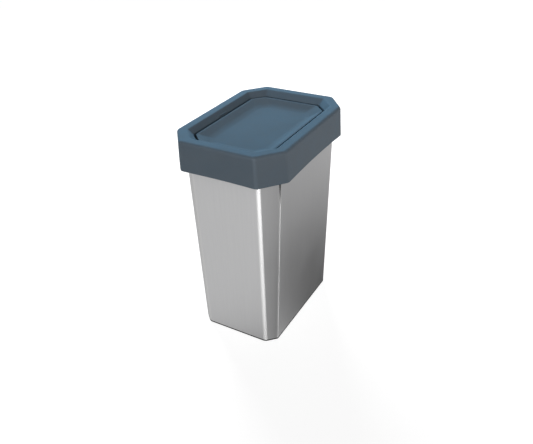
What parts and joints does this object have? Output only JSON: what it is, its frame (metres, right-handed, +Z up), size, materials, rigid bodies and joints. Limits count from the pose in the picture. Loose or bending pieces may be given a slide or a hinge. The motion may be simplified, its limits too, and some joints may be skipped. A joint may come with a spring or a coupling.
{
  "type": "swing-lid trash can",
  "caption": "Slim tapered steel trash can with cut corners, a lift-off plastic hood and a dished flap that swings both ways.",
  "frame": {"origin": "middle of the footprint on the floor, under the feet", "axes": "+Z up, the narrow front faces -Y, the long sides face +X and -X"},
  "size_m": [0.2064, 0.28, 0.38],
  "materials": {
    "can_steel": "vertical fine brushing, satin",
    "hood_plastic": "fine even grain, satin",
    "flap_plastic": "fine even grain, satin",
    "trim_plastic": "plain",
    "base_plastic": "plain",
    "foot_rubber": "plain",
    "bearing_plastic": "smooth acetal",
    "pin_steel": "drawn bar"
  },
  "bodies": {
    "can": {"front_panel": "can_steel", "rear_wrap": "can_steel", "rim_trim": "trim_plastic", "floor_pan": "can_steel", "base_ring": "base_plastic", "foot_front_left": "foot_rubber", "foot_front_right": "foot_rubber", "foot_rear_left": "foot_rubber", "foot_rear_right": "foot_rubber"},
    "hood": {"hood_shell": "hood_plastic", "bearing_block_left": "bearing_plastic", "bearing_block_right": "bearing_plastic"},
    "flap": {"flap_panel": "flap_plastic", "pivot_pin_left": "pin_steel", "pivot_pin_right": "pin_steel"}
  },
  "joints": [
    {"name": "hood_lift", "type": "slide", "parent": "can", "child": "hood", "axis": [0, 0, 1], "range_m": [0, 0.06]},
    {"name": "flap_swing", "type": "hinge", "parent": "hood", "child": "flap", "pos_m": [0, 0, 0.365], "axis": [1, 0, 0], "range_deg": [-80, 80]}
  ]
}
